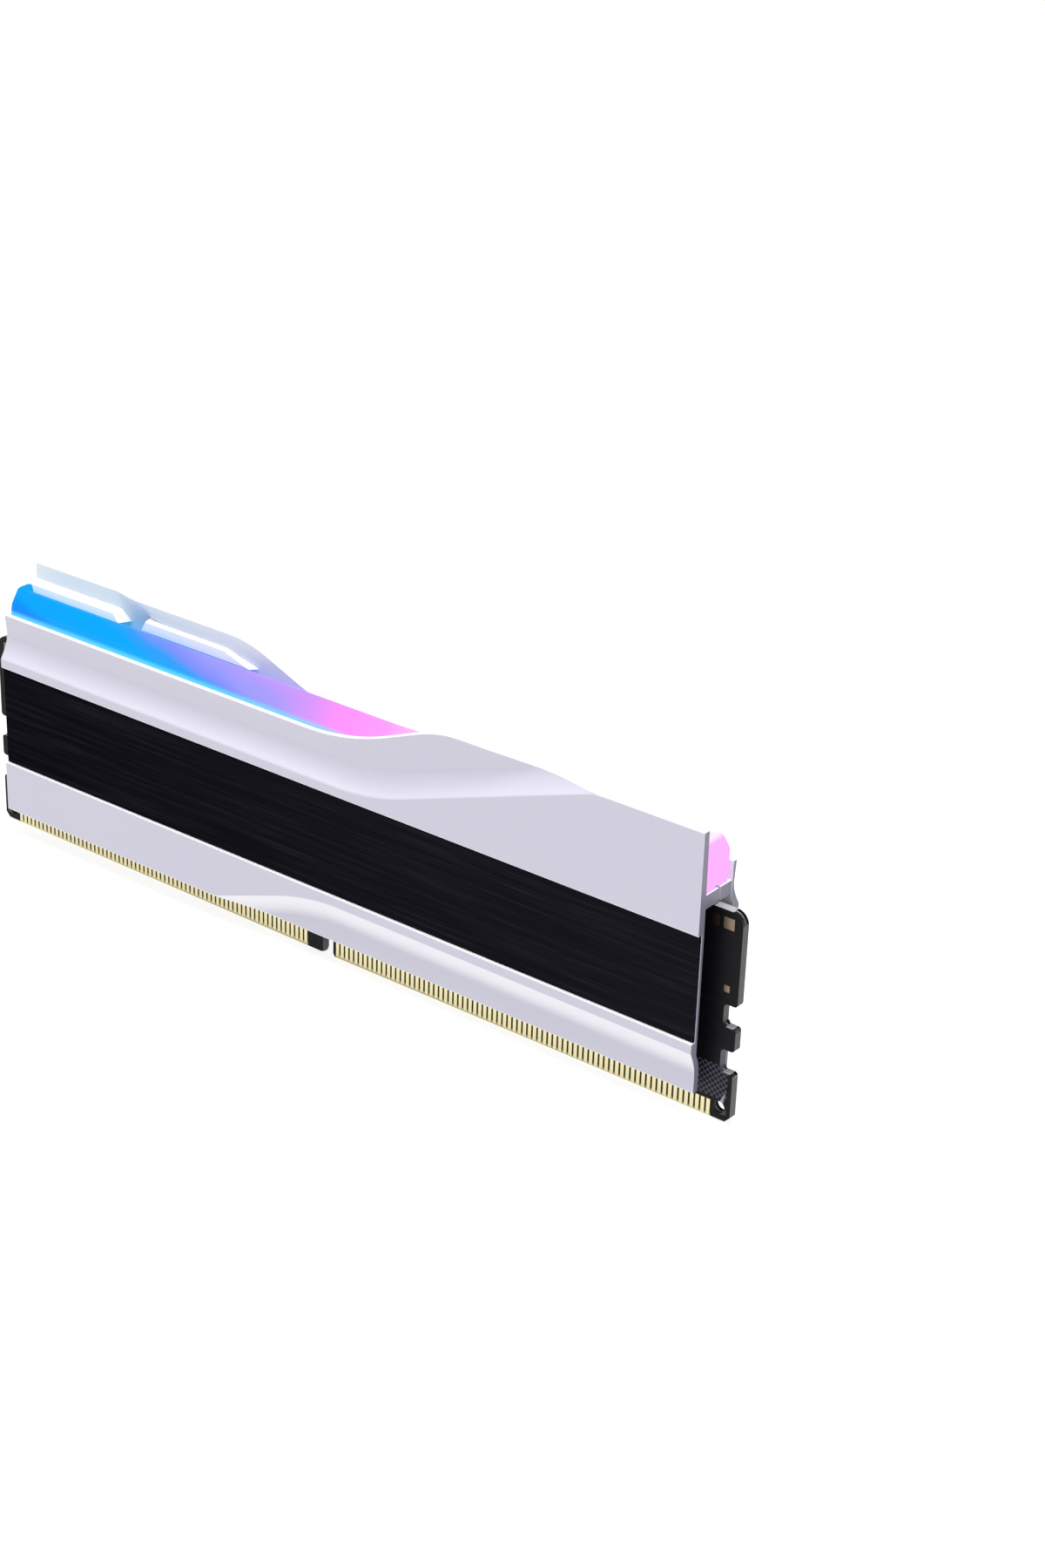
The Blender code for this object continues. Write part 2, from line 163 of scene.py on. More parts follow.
# Tabs of both spreaders, as (start, end, depth of the root). They reach TAB_TIP_DEPTH past the middle.
# The ribs are raised pads inside the back spreader, as (x, y, z) corners at its wall and at their faces.
TABS = ((-62.3, -50.0, 2.58), (-6.0, 6.0, 2.58), (50.0, 62.3, 2.92))
TAB_BOTTOM = 30.35
TAB_TOP = 32.35
TAB_TIP_DEPTH = -0.15
TAB_ROUND = 0.12
RIB_WALLS = (
    ((-62.3, 3.7, 37.55), (-42.6, 3.7, 37.55), (-44.7, 3.7, 39.0), (-62.3, 3.7, 39.0)),
    ((-39.6, 3.7, 37.7), (-16.6, 3.5, 37.7), (-22.9, 3.5, 39.4), (-38.9, 3.7, 39.4)),
)
RIB_FACES = (
    ((-62.3, 1.75, 37.55), (-43.7, 1.75, 37.55), (-45.1, 2.15, 38.6), (-62.3, 2.15, 38.6)),
    ((-39.2, 1.75, 37.7), (-18.3, 1.75, 37.7), (-23.6, 2.2, 39.0), (-38.7, 2.2, 39.0)),
)
RIB_ROUND = 0.10

# Insert strips.
INSERT_LOW, INSERT_HIGH = box_mm("insert_front")
INSERT_MARGIN = 0.05
INSERT_GAP = 0.02
INSERT_ROUND = 0.08
BAND_BOTTOM = INSERT_LOW.z - INSERT_MARGIN
BAND_TOP = INSERT_HIGH.z + INSERT_MARGIN
BAND_FLOOR_DEPTH = -INSERT_HIGH.y - INSERT_GAP

# Light bar: sections as (y, z, corner radius), at places along X.
BAR_LOW, BAR_HIGH = box_mm("light_bar")
BAR_BOTTOM = BAR_LOW.z
BAR_END_ROUND = 0.7
BAR_LOW_SECTION = (
    (1.9, BAR_BOTTOM, 0.3), (1.9, 37.25, 0.8), (-0.45, 39.0, 0.7), (-1.9, 36.7, 0.5),
    (-2.15, 35.4, 0.5), (-2.15, BAR_BOTTOM, 0.3),
)
BAR_END_SECTION = (
    (1.9, BAR_BOTTOM, 0.3), (1.7, 39.0, 0.5), (-0.45, 38.95, 0.7), (-1.9, 36.7, 0.5),
    (-2.15, 35.4, 0.5), (-2.15, BAR_BOTTOM, 0.3),
)
BAR_RISING_SECTION = (
    (2.3, BAR_BOTTOM, 0.3), (2.3, 36.9, 0.8), (0.6, 39.2, 0.7), (-1.3, 39.9, 0.3),
    (-2.15, 40.1, 0.3), (-2.15, BAR_BOTTOM, 0.3),
)
BAR_NECK_SECTION = (
    (2.6, BAR_BOTTOM, 0.3), (2.6, 36.9, 0.8), (0.9, 39.4, 0.7), (-1.3, 40.3, 0.3),
    (-2.15, 40.5, 0.3), (-2.15, BAR_BOTTOM, 0.3),
)
BAR_HIGH_SECTION = (
    (2.6, BAR_BOTTOM, 0.3), (2.6, 36.9, 0.8), (0.9, 39.4, 0.7), (-1.3, 40.3, 0.4),
    (-2.9, 40.5, 0.3), (-2.65, BAR_BOTTOM, 0.3),
)
BAR_STATIONS = (
    (-62.1, BAR_END_SECTION), (-61.3, BAR_END_SECTION), (-61.1, BAR_LOW_SECTION),
    (10.0, BAR_LOW_SECTION), (35.5, BAR_RISING_SECTION), (38.5, BAR_NECK_SECTION),
    (46.0, BAR_NECK_SECTION), (48.5, BAR_HIGH_SECTION), (62.1, BAR_HIGH_SECTION),
)

# Light bar glow: display colours along X at the height GLOW_LEVEL. Higher up they run ahead by GLOW_LEAN
# for each millimetre and lower down they lag. That and a small drift fade out over GLOW_LEVEL_SPAN.
# The low edge of the bar is lighter as far as GLOW_EDGE_END, and its crest from GLOW_CREST_START on.
GLOW_LEVEL = 37.0
GLOW_LEAN = 4.5
GLOW_LEAN_LIMIT = 8.0
GLOW_DRIFT = 1.5
GLOW_LEVEL_SPAN = (-18.0, -4.0)
GLOW_COLOURS = (
    (-62.0, (0, 140, 255)), (-57.0, (0, 165, 255)), (-38.0, (0, 168, 255)),
    (-30.5, (50, 158, 255)), (-24.0, (132, 145, 255)), (-17.0, (155, 155, 255)),
    (-10.0, (170, 155, 255)), (-4.0, (215, 150, 255)), (1.5, (255, 147, 250)),
    (9.0, (255, 158, 250)), (15.0, (255, 195, 250)), (20.0, (248, 236, 250)),
    (61.0, (250, 240, 250)), (61.8, (255, 172, 255)),
)
GLOW_START = GLOW_COLOURS[0][0]
GLOW_LENGTH = GLOW_COLOURS[-1][0] - GLOW_START
GLOW_EDGE = (35.2, 36.0)
GLOW_EDGE_END = (2.0, 12.0)
GLOW_EDGE_SHARE = 0.75
GLOW_EDGE_COLOUR = (110, 225, 255)
GLOW_CREST = (38.9, 40.0)
GLOW_CREST_START = (30.0, 40.0)
GLOW_CREST_COLOUR = (250, 232, 252)
GLOW_STRENGTH = 1.0

# Details of the hidden parts: where a capacitor's tinned ends start, from its middle, and where a diode's
# window starts, below its top.
CAPACITOR_END_START = (0.48, 0.52)
DIODE_WINDOW_DEPTH = (0.12, 0.06)

# Linear colours. A pair holds the two colours that a noise mixes.
PAINT = ((0.595, 0.58, 0.685), (0.62, 0.605, 0.71))
PAINT_GRAIN = (0.72, 0.71, 0.80)
PAINT_GRAIN_SHARE = 0.12
# Painted light: the light bar's glow on the paint inside the module.
PAINT_INSIDE_GLOW_LIGHT = (0.80, 0.85, 0.86)
# Painted highlights where the paint faces up and where it faces down.
PAINT_UPWARD_HIGHLIGHT = (0.95, 0.95, 0.97)
PAINT_DOWNWARD_HIGHLIGHT = (0.84, 0.83, 0.88)
# Painted shade: dark grey for the spreaders' end faces.
END_FACE_PAINTED_SHADE = (0.205, 0.195, 0.265)
INSERT_BLACK = ((0.0082, 0.0079, 0.0108), (0.0235, 0.0226, 0.0290))
INSERT_EDGE_TINT = (0.12, 0.12, 0.16)
SOLDER_MASK = ((0.0021, 0.0020, 0.0032), (0.0048, 0.0046, 0.0066))
COPPER_MESH = (0.085, 0.085, 0.120)
LAMINATE = ((0.022, 0.017, 0.006), (0.048, 0.038, 0.015))
LAMINATE_LOW = (0.60, 0.52, 0.26)
RIM_FIBRE = ((0.070, 0.072, 0.076), (0.13, 0.132, 0.137))
# Painted highlight on the top of the board's cut rim.
RIM_UPWARD_HIGHLIGHT = (0.36, 0.37, 0.38)
CARD_EDGE = (0.70, 0.60, 0.32)
GOLD = ((0.82, 0.72, 0.38), (0.94, 0.88, 0.58))
TINNED_COPPER = ((0.20, 0.15, 0.10), (0.34, 0.27, 0.19))
# Painted shadow of the spreader on the pads beside it.
PAD_SPREADER_SHADOW = (0.030, 0.016, 0.014)
RESIN = ((0.014, 0.014, 0.015), (0.030, 0.030, 0.032))
FERRITE = ((0.07, 0.07, 0.075), (0.16, 0.16, 0.17))
CERAMIC = ((0.34, 0.22, 0.13), (0.48, 0.33, 0.20))
TIN = ((0.50, 0.50, 0.52), (0.68, 0.68, 0.70))
DIODE_SHELL = ((0.72, 0.72, 0.70), (0.82, 0.82, 0.80))
DIODE_PHOSPHOR = (0.80, 0.72, 0.35)
DIODE_LIGHT = (0.45, 0.65, 1.0)
SILICONE = ((0.34, 0.38, 0.45), (0.48, 0.53, 0.61))
FLOOR_GREY = ((0.24, 0.24, 0.24), (0.27, 0.27, 0.27))
BLACK = (0.0, 0.0, 0.0)
WHITE = (1.0, 1.0, 1.0)

# Most of a noise's values lie in this range.
NOISE_RANGE = (0.3, 0.7)

# The border of a pattern fades over this length each way.
PATTERN_SOFTNESS = 0.05

# Edges: angles in degrees between two faces, from which an edge is sharp or is rounded.
SHARP_ANGLE = 23.5
ROUNDED_ANGLE = 30.0
BOARD_ROUNDED_ANGLE = 50.0
EDGE_SEGMENTS = 2


# Meshes.

def loft(sections):
    """A bmesh through closed sections of equal length, with flat caps on the first and the last."""
    bm = bmesh.new()
    rings = [[bm.verts.new(Vector(point) * MM) for point in section] for section in sections]
    count = len(rings[0])
    for ring, following in zip(rings, rings[1:]):
        for i in range(count):
            j = (i + 1) % count
            bm.faces.new((ring[i], ring[j], following[j], following[i]))
    bm.faces.new(rings[0])
    bm.faces.new(rings[-1])
    return bm


def add_box(bm, low, high):
    """Adds a box between two corners, in millimetres, to a bmesh."""
    low = Vector(low)
    high = Vector(high)
    verts = bmesh.ops.create_cube(bm, size=1.0)["verts"]
    bmesh.ops.scale(bm, vec=(high - low) * MM, verts=verts)
    bmesh.ops.translate(bm, vec=(high + low) / 2 * MM, verts=verts)


def add_piece(name, bm, material=None):
    """Turns a bmesh into a smooth-shaded object."""
    bmesh.ops.recalc_face_normals(bm, faces=bm.faces)
    mesh = bpy.data.meshes.new(name)
    bm.to_mesh(mesh)
    bm.free()
    mesh.shade_smooth()
    obj = bpy.data.objects.new(name, mesh)
    bpy.context.scene.collection.objects.link(obj)
    if material:
        mesh.materials.append(material)
    return obj


def round_edges(obj, width, angle=ROUNDED_ANGLE):
    """Bevels the edges where faces meet at more than an angle."""
    modifier = obj.modifiers.new("edges", "BEVEL")
    modifier.width = width * MM
    modifier.segments = EDGE_SEGMENTS
    modifier.limit_method = "ANGLE"
    modifier.angle_limit = math.radians(angle)
    modifier.use_clamp_overlap = True


def even_shading(obj):
    """Lets the large faces set the normals, so that they look flat up to their rounded edges."""
    modifier = obj.modifiers.new("even shading", "WEIGHTED_NORMAL")
    modifier.keep_sharp = True


def apply_modifiers(obj):
    """Replaces the object's mesh with the one that its modifiers make."""
    graph = bpy.context.evaluated_depsgraph_get()
    mesh = bpy.data.meshes.new_from_object(obj.evaluated_get(graph))
    obj.modifiers.clear()
    obj.data = mesh


def join(obj, others):
    """Unites the others with obj in one closed mesh, and removes them."""
    for other in others:
        modifier = obj.modifiers.new("join", "BOOLEAN")
        modifier.operation = "UNION"
        modifier.object = other
    apply_modifiers(obj)
    for other in others:
        bpy.data.objects.remove(other, do_unlink=True)


def finish_piece(obj, slot, *nodes):
    """Attaches a piece to the root body and hides the CAD nodes that it stands for. Its slot is not used.
    """
    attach(obj, "root")
    if nodes:
        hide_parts(*nodes)


# Outlines.

def rounded(corners, segments=4):
    """An outline through (a, b, radius) corners, each with a radius turned into an arc."""
    points = []
    count = len(corners)
    for i, (a, b, radius) in enumerate(corners):
        corner = Vector((a, b))
        if not radius:
            points.append(corner)
            continue
        before = (Vector(corners[i - 1][:2]) - corner).normalized()
        after = (Vector(corners[(i + 1) % count][:2]) - corner).normalized()
        half = before.angle(after) / 2
        centre = corner + (before + after).normalized() * radius / math.sin(half)
        start = corner + before * radius / math.tan(half) - centre
        end = corner + after * radius / math.tan(half) - centre
        for step in range(segments + 1):
            direction = start.slerp(end, step / segments).normalized()
            points.append(centre + direction * radius)
    return points


def circle(a, b, radius, count=32):
    """An outline round the point (a, b)."""
    turns = [2 * math.pi * i / count for i in range(count)]
    return [Vector((a + radius * math.cos(turn), b + radius * math.sin(turn))) for turn in turns]


def inset(outline, distance):
    """An anticlockwise outline moved inwards by a distance, up to twice as far at a sharp corner."""
    moved = []
    count = len(outline)
    for i, point in enumerate(outline):
        before = (point - outline[i - 1]).normalized()
        after = (outline[(i + 1) % count] - point).normalized()
        normal = Vector((-before.y - after.y, before.x + after.x)).normalized()
        share = max(normal.dot(Vector((-before.y, before.x))), 0.5)
        moved.append(point + normal * distance / share)
    return moved


def plate(name, outlines, thickness):
    """A flat plate round the XZ plane as a bmesh: the first outline is its edge, others are holes."""
    curve = bpy.data.curves.new(name, "CURVE")
    curve.dimensions = "2D"
    curve.fill_mode = "BOTH"
    curve.extrude = thickness / 2 * MM
    for outline in outlines:
        spline = curve.splines.new("POLY")
        spline.points.add(len(outline) - 1)
        for point, place in zip(spline.points, outline):
            point.co = (place.x * MM, place.y * MM, 0.0, 1.0)
        spline.use_cyclic_u = True
    obj = bpy.data.objects.new(name, curve)
    bpy.context.scene.collection.objects.link(obj)
    bpy.context.view_layer.update()
    mesh = bpy.data.meshes.new_from_object(obj.evaluated_get(bpy.context.evaluated_depsgraph_get()))
    bpy.data.objects.remove(obj, do_unlink=True)
    bm = bmesh.new()
    bm.from_mesh(mesh)
    bpy.data.meshes.remove(mesh)
    bmesh.ops.remove_doubles(bm, verts=bm.verts, dist=NEAR * MM)
    bmesh.ops.transform(bm, matrix=Matrix.Rotation(math.pi / 2, 4, "X"), verts=bm.verts)
    return bm


# Heat spreaders.

def ramp(distance, round_half):
    """Zero before a bend and the distance after it, with a smooth stretch round_half each way."""
    if distance <= -round_half:
        return 0.0
    if distance >= round_half:
        return distance
    return (distance + round_half) ** 2 / (4 * round_half)


def top_edge(x):
    """Height of the spreader's top edge, low on the left and high on the right."""
    rise_end = TOP_RISE_START + (HIGH_TOP - LOW_TOP) / TOP_SLOPE
    rise = ramp(x - TOP_RISE_START, TOP_RISE_START_ROUND) - ramp(x - rise_end, TOP_RISE_END_ROUND)
    return LOW_TOP + TOP_SLOPE * rise


def upper_crease(x):
    """Height at which the flat face above the band ends and the flute starts."""
    return BAND_TOP + CREASE_MARGIN + CREASE_SLOPE * ramp(x - CREASE_CORNER_X, CREASE_ROUND)


def lower_crease(x):
    """Height at which the flat face below the band ends and the flute starts."""
    return BAND_BOTTOM - CREASE_MARGIN - CREASE_SLOPE * ramp(CREASE_LOWER_CORNER_X - x, CREASE_ROUND)


def flute_depth(distance, deepest, lean):
    """Depth of the face at a distance past the crease: it falls in a hollow curve, then may lean out."""
    share = min(max(distance / FLUTE_WIDTH, 0.0), 1.0)
    fall = 1.5 * share - 0.5 * share ** 3
    back_out = min(lean * max(distance - FLUTE_WIDTH, 0.0), FLUTE_LEAN_LIMIT)
    return FACE_DEPTH - (FACE_DEPTH - deepest) * fall + back_out


def flute_rows(room, deepest, lean):
    """(distance past the crease, depth) of the rows in a flute that has this much room.

    Two rows close to the crease keep it crisp. With no room left, the rows bunch up at the sheet's edge.
    """
    start = min(0.0, room - CREASE_SOFTNESS)
    distances = [start - CREASE_SOFTNESS]
    end = min(FLUTE_WIDTH, room)
    distances += [start + (end - start) * i / FLUTE_ROWS for i in range(FLUTE_ROWS + 1)]
    distances[1] += min(CREASE_SOFTNESS, (end - start) / FLUTE_ROWS / 2)
    return [(distance, flute_depth(distance, deepest, lean)) for distance in distances]


def spreader_outline(x):
    """(depth, z) outline of the sheet at x: up the outer face, then down the inner face."""
    top = top_edge(x)
    low_crease = lower_crease(x)
    high_crease = upper_crease(x)
    low_rows = flute_rows(low_crease - SPREADER_BOTTOM - EDGE_ROOM, LOWER_FLUTE_DEPTH, 0.0)
    lower = [(depth, low_crease - distance) for distance, depth in reversed(low_rows)]
    high_rows = flute_rows(top - EDGE_ROOM - high_crease, UPPER_FLUTE_DEPTH, FLUTE_LEAN)
    upper = [(depth, high_crease + distance) for distance, depth in high_rows]
    bottom_depth = flute_depth(low_crease - SPREADER_BOTTOM, LOWER_FLUTE_DEPTH, 0.0)
    top_depth = flute_depth(top - high_crease, UPPER_FLUTE_DEPTH, FLUTE_LEAN)
    corners = [(bottom_depth, SPREADER_BOTTOM, OUTER_EDGE_ROUND)]
    corners += [(depth, z, 0) for depth, z in lower]
    corners += [
        (FACE_DEPTH, BAND_BOTTOM, BAND_EDGE_ROUND), (BAND_FLOOR_DEPTH, BAND_BOTTOM, 0),
        (BAND_FLOOR_DEPTH, BAND_TOP, 0), (FACE_DEPTH, BAND_TOP, BAND_EDGE_ROUND),
    ]
    corners += [(depth, z, 0) for depth, z in upper]
    corners += [(top_depth, top, OUTER_EDGE_ROUND)]
    corners += [(upper_inner_depth(top_depth, top), top, INNER_EDGE_ROUND)]
    corners += [(upper_inner_depth(depth, z), z, 0) for depth, z in reversed(upper)]
    corners += [(INNER_DEPTH, BAND_TOP, 0)]
    corners += [(min(INNER_DEPTH, depth - SHEET), z, 0) for depth, z in reversed(lower)]
    corners += [(min(INNER_DEPTH, bottom_depth - SHEET), SPREADER_BOTTOM, INNER_EDGE_ROUND)]
    return rounded(corners)


def upper_inner_depth(depth, z):
    """Depth of the inner face behind a point of the outer face above the band."""
    draft = INNER_DRAFT * (z - BAND_TOP) / (HIGH_TOP - BAND_TOP)
    return min(INNER_DEPTH + draft, max(depth - SHEET, UPPER_INNER_LEAST))


def end_steps(radius, steps=3):
    """(distance from the end, inset) of the rings that round an end, from the end inwards."""
    turns = [math.pi / 2 * (1 - i / steps) for i in range(steps + 1)]
    return [(radius * (1 - math.sin(turn)), radius * (1 - math.cos(turn))) for turn in turns]


def spreader_rings():
    """(x, outline) along the sheet, with both ends rounded."""
    first = [(-SPREADER_END + along, inwards) for along, inwards in end_steps(END_ROUND)]
    last = [(-x, inwards) for x, inwards in reversed(first)]
    count = round((last[0][0] - first[-1][0]) / STATION_STEP)
    step = (last[0][0] - first[-1][0]) / count
    middle = [(first[-1][0] + step * i, 0.0) for i in range(1, count)]
    return [(x, inset(spreader_outline(x), inwards)) for x, inwards in first + middle + last]


def make_tab(start, end, root, side):
    """A tab that folds inwards over the board, from its root on a spreader's inner face."""
    bm = bmesh.new()
    add_box(bm, (start, -root, TAB_BOTTOM), (end, -TAB_TIP_DEPTH, TAB_TOP))
    if side == BACK:
        turn = Matrix.Translation((0, BACK_SHIFT * MM, 0)) @ Matrix.Rotation(math.pi, 4, "Z")
        bmesh.ops.transform(bm, matrix=turn, verts=bm.verts)
    tab = add_piece("tab", bm)
    round_edges(tab, TAB_ROUND)
    return tab


def make_rib(index):
    """A raised pad of the back spreader, narrower at its face than at the wall."""
    rib = add_piece("rib", loft([RIB_WALLS[index], RIB_FACES[index]]))
    round_edges(rib, RIB_ROUND)
    return rib


def make_spreader(side, material):
    """One painted sheet with its tabs. The back one is the front one turned round, with ribs added."""
    name = "heat_spreader_front" if side == FRONT else "heat_spreader_back"
    shift = 0.0 if side == FRONT else BACK_SHIFT
    sections = [
        [(-side * x, side * point.x + shift, point.y) for point in outline]
        for x, outline in spreader_rings()
    ]
    spreader = add_piece(f"{name}_sheet", loft(sections), material)
    added = [make_tab(start, end, root, side) for start, end, root in TABS]
    if side == BACK:
        added += [make_rib(index) for index in range(len(RIB_WALLS))]
    join(spreader, added)
    spreader.data.set_sharp_from_angle(angle=math.radians(SHARP_ANGLE))
    even_shading(spreader)
    finish_piece(spreader, "paint", name)


def make_insert(side, material):
    """The dark strip in a spreader's band, with softened edges."""
    name = "insert_front" if side == FRONT else "insert_back"
    low, high = box_mm(name)
    bm = bmesh.new()
    add_box(bm, low, high)
    strip = add_piece(f"{name}_strip", bm, material)
    round_edges(strip, INSERT_ROUND)
    even_shading(strip)
    finish_piece(strip, "insert", name)


# Light bar.

def bar_rings():
    """(x, outline) along the bar. The first and last sections shrink towards the bar's ends."""
    rings = []
    for x, section in BAR_STATIONS:
        outline = rounded(section)
        if abs(x) < BAR_HIGH.x:
            rings.append((x, outline))
            continue
        centre = sum(outline, Vector((0, 0))) / len(outline)
        size = max((point - centre).length for point in outline)
        steps = end_steps(BAR_END_ROUND)
        for along, inwards in steps if x < 0 else reversed(steps):
            shrunk = [centre + (point - centre) * (1 - inwards / size) for point in outline]
            rings.append((x - math.copysign(along, x), shrunk))
    return rings


def make_light_bar(material):
    """The translucent bar between the spreaders."""
    sections = [[(x, point.x, point.y) for point in outline] for x, outline in bar_rings()]
    bar = add_piece("light_bar_diffuser", loft(sections), material)
    bar.data.set_sharp_from_angle(angle=math.radians(SHARP_ANGLE))
    even_shading(bar)
    finish_piece(bar, "bar", "light_bar")


# Circuit board and its contacts.

def board_outline():
    """The board's edge, anticlockwise from its lower left corner."""
    wall = BOARD_END - LATCH_DEPTH
    right = [(BOARD_END - CORNER_CHAMFER, 0, 0), (BOARD_END, CORNER_CHAMFER, 0)]
    for low, high in LATCH_NOTCHES:
        right += [
            (BOARD_END, low, LATCH_RADIUS), (wall, low, LATCH_RADIUS),
            (wall, high, LATCH_RADIUS), (BOARD_END, high, LATCH_RADIUS),
        ]
    right.append((BOARD_END, BOARD_HIGH.z, TOP_CORNER_RADIUS))
    left = [(-x, z, radius) for x, z, radius in reversed(right)]
    key = [
        (KEY_LEFT, 0, 0), (KEY_LEFT, KEY_HEIGHT, KEY_RADIUS),
        (KEY_RIGHT, KEY_HEIGHT, KEY_RADIUS), (KEY_RIGHT, 0, 0),
    ]
    return rounded(left + key + right, BOARD_ARC_SEGMENTS)


def make_board(material):
    """The board with its corner holes and a bevelled card edge."""
    holes = [circle(x, CORNER_HOLE_Z, CORNER_HOLE_RADIUS) for x in (-CORNER_HOLE_X, CORNER_HOLE_X)]
    bm = plate("board", [board_outline(), *holes], 2 * BOARD_FACE)
    card_edges = [
        edge for edge in bm.edges
        if all(abs(vert.co.z) < NEAR * MM for vert in edge.verts)
        and abs(edge.verts[0].co.y - edge.verts[1].co.y) < NEAR * MM
    ]
    bmesh.ops.bevel(bm, geom=card_edges, offset=CARD_EDGE_BEVEL * MM, segments=1, affect="EDGES")
    board = add_piece("circuit_board", bm, material)
    round_edges(board, BOARD_EDGE_ROUND, BOARD_ROUNDED_ANGLE)
    even_shading(board)
    finish_piece(board, "board", "pcb")


def make_contacts(material):
    """Each gold contact as its own raised pad, from the places of the CAD's contact groups."""
    for side in ("front", "back"):
        for group, count in CONTACT_COUNTS.items():
            name = f"contacts_{side}_{group}"
            low, high = box_mm(name)
            bm = bmesh.new()
            for i in range(count):
                left = low.x + i * CONTACT_PITCH
                add_box(bm, (left, low.y, low.z), (left + CONTACT_WIDTH, high.y, high.z))
            contacts = add_piece(f"{name}_pads", bm, material)
            round_edges(contacts, CONTACT_ROUND)
            even_shading(contacts)
            finish_piece(contacts, "gold", name)


def make_solder_pads(material):
    """Bare pads for parts that this board leaves out, on both faces near both ends."""
    bm = bmesh.new()
    for side in (FRONT, BACK):
        for end in (-1, 1):
            for x, z, width, height in SOLDER_PADS:
                near = side * BOARD_FACE
                far = side * (BOARD_FACE + SOLDER_THICKNESS)
                low = (end * x - width / 2, min(near, far), z - height / 2)
                high = (end * x + width / 2, max(near, far), z + height / 2)
                add_box(bm, low, high)
    pads = add_piece("solder_pads", bm, material)
    round_edges(pads, SOLDER_THICKNESS / 3)
    finish_piece(pads, "gold")


# Materials.

def linear(colour):
    """A display colour of three 0-255 values as a linear colour."""
    return [
        (value / 255 / 12.92) if value <= 10 else ((value / 255 + 0.055) / 1.055) ** 2.4
        for value in colour
    ]


class Surface:
    """A material being made: its nodes, its shader and the place on the object in millimetres."""

    def __init__(self, name, **sockets):
        self.material = bpy.data.materials.new(name)
        self.material.use_nodes = True
        self.tree = self.material.node_tree
        self.shader = self.tree.nodes["Principled BSDF"]
        for socket, value in sockets.items():
            self.shader.inputs[socket.replace("_", " ")].default_value = value
        coordinates = self.tree.nodes.new("ShaderNodeTexCoord")
        self.normal = coordinates.outputs["Normal"]
        scaled = self.tree.nodes.new("ShaderNodeVectorMath")
        scaled.operation = "SCALE"
        scaled.inputs["Scale"].default_value = 1 / MM
        self.tree.links.new(coordinates.outputs["Object"], scaled.inputs[0])
        self.place = scaled.outputs[0]

    def put(self, socket, value):
        """Sets a node's socket to a number or a colour, or links an output to it."""
        if isinstance(value, bpy.types.NodeSocket):
            self.tree.links.new(value, socket)
        elif hasattr(value, "__len__") and socket.type == "RGBA":
            socket.default_value = (*value[:3], 1.0)
        else:
            socket.default_value = value

    def use(self, socket, value):
        """Sets or links a socket of the shader."""
        self.put(self.shader.inputs[socket], value)

    def math(self, operation, a, b=0.0, clamp=False):
        """The outcome of a Math node, clamped to 0..1 on request."""
        node = self.tree.nodes.new("ShaderNodeMath")
        node.operation = operation
        node.use_clamp = clamp
        self.put(node.inputs[0], a)
        self.put(node.inputs[1], b)
        return node.outputs[0]

    def axes(self, vector):
        """The X, Y and Z of a vector."""
        node = self.tree.nodes.new("ShaderNodeSeparateXYZ")
        self.put(node.inputs[0], vector)
        return node.outputs

    def noise(self, per_mm, detail, stretch=(1, 1, 1)):
        """Noise from 0 to 1, with about per_mm lumps in a millimetre, drawn out by stretch."""
        mapping = self.tree.nodes.new("ShaderNodeMapping")
        mapping.inputs["Scale"].default_value = [1 / length for length in stretch]
        self.put(mapping.inputs["Vector"], self.place)
        node = self.tree.nodes.new("ShaderNodeTexNoise")
        node.inputs["Scale"].default_value = per_mm
        node.inputs["Detail"].default_value = detail
        self.put(node.inputs["Vector"], mapping.outputs[0])
        return node.outputs[0]

    def fit(self, value, low, high, out_low=0.0, out_high=1.0):
        """Value taken from low..high to out_low..out_high, smoothly and clamped."""
        node = self.tree.nodes.new("ShaderNodeMapRange")
        node.interpolation_type = "SMOOTHSTEP"
        for socket, number in zip(node.inputs, (value, low, high, out_low, out_high)):
            self.put(socket, number)
        return node.outputs[0]

    def within(self, value, low, high):
        """1 where value is between low and high, 0 elsewhere."""
        rise = self.fit(value, low - PATTERN_SOFTNESS, low + PATTERN_SOFTNESS)
        fall = self.fit(value, high - PATTERN_SOFTNESS, high + PATTERN_SOFTNESS, 1.0, 0.0)
        return self.math("MULTIPLY", rise, fall)

    def mix(self, share, a, b):
        """Colour a where share is 0 and colour b where it is 1."""
        node = self.tree.nodes.new("ShaderNodeMix")
        node.data_type = "RGBA"
        self.put(node.inputs["Factor"], share)
        self.put(node.inputs[6], a)
        self.put(node.inputs[7], b)
        return node.outputs[2]

    def vary(self, noise, pair):
        """A colour that a noise mixes from the two colours of a pair."""
        return self.mix(noise, *pair)

    def roughen(self, noise, low, high):
        """Lets the roughness follow a noise from low to high."""
        self.use("Roughness", self.fit(noise, *NOISE_RANGE, low, high))

    def colours(self, value, stops):
        """A colour that runs through (0..1 place, linear colour) stops."""
        node = self.tree.nodes.new("ShaderNodeValToRGB")
        elements = node.color_ramp.elements
        elements[0].position, elements[1].position = stops[0][0], stops[-1][0]
        elements[0].color = (*stops[0][1], 1.0)
        elements[1].color = (*stops[-1][1], 1.0)
        for place, colour in stops[1:-1]:
            elements.new(place).color = (*colour, 1.0)
        self.put(node.inputs[0], value)
        return node.outputs[0]

    def bump(self, height, depth):
        """Raises the surface by up to depth millimetres where height is 1."""
        node = self.tree.nodes.new("ShaderNodeBump")
        node.inputs["Distance"].default_value = depth * MM
        self.put(node.inputs["Height"], height)
        self.use("Normal", node.outputs[0])


